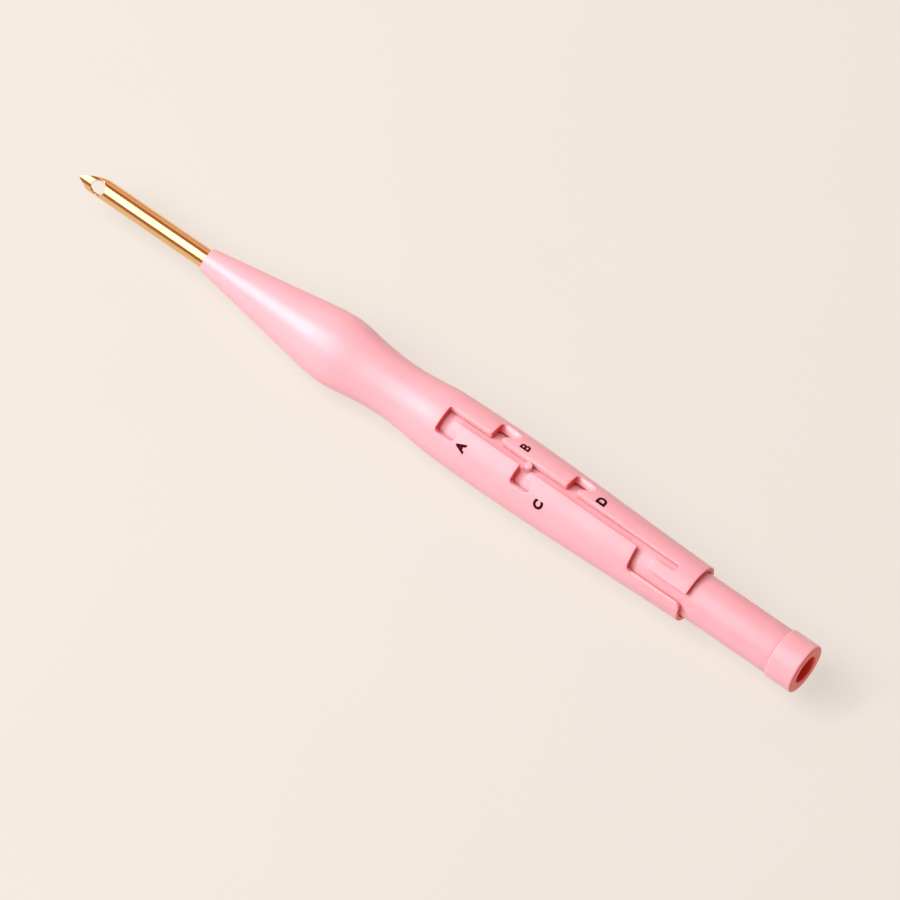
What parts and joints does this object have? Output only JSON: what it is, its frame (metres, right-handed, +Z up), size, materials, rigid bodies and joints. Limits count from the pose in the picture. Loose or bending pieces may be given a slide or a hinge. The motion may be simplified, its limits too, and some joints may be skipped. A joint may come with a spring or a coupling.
{
  "type": "adjustable punch needle",
  "caption": "Pen-shaped punch needle: a hollow eyed needle on a plunger tube that slides and turns in a slotted handle to set the loop length.",
  "frame": {"origin": "on the tool's axis, halfway between the needle's point and the collar's rear face", "axes": "+X along the tool's axis towards the rear collar, +Z up through the middle of the long slot, +Y to the left of the slot seen from the rear"},
  "size_m": [0.17, 0.0142, 0.0142],
  "materials": {
    "handle_plastic": "smooth moulded pink plastic with a soft gloss, slightly translucent",
    "tube_plastic": "smooth moulded pink plastic with a soft gloss",
    "collar_plastic": "smooth moulded pink plastic, a little deeper in colour",
    "needle_metal": "polished gold coloured metal",
    "setting_ink": "dark printed setting letters"
  },
  "bodies": {
    "handle": {"handle": "handle_plastic"},
    "carrier": {"needle_holder": "collar_plastic"},
    "plunger": {"plunger_tube": "tube_plastic", "end_collar": "collar_plastic", "locking_stud": "tube_plastic", "needle": "needle_metal"}
  },
  "joints": [
    {"name": "plunger_slide", "type": "slide", "parent": "handle", "child": "carrier", "axis": [1, 0, 0], "range_m": [-0.0176, 0.0274]},
    {"name": "plunger_turn", "type": "hinge", "parent": "carrier", "child": "plunger", "pos_m": [0, 0, 0], "axis": [1, 0, 0], "range_deg": [0, 33]}
  ]
}
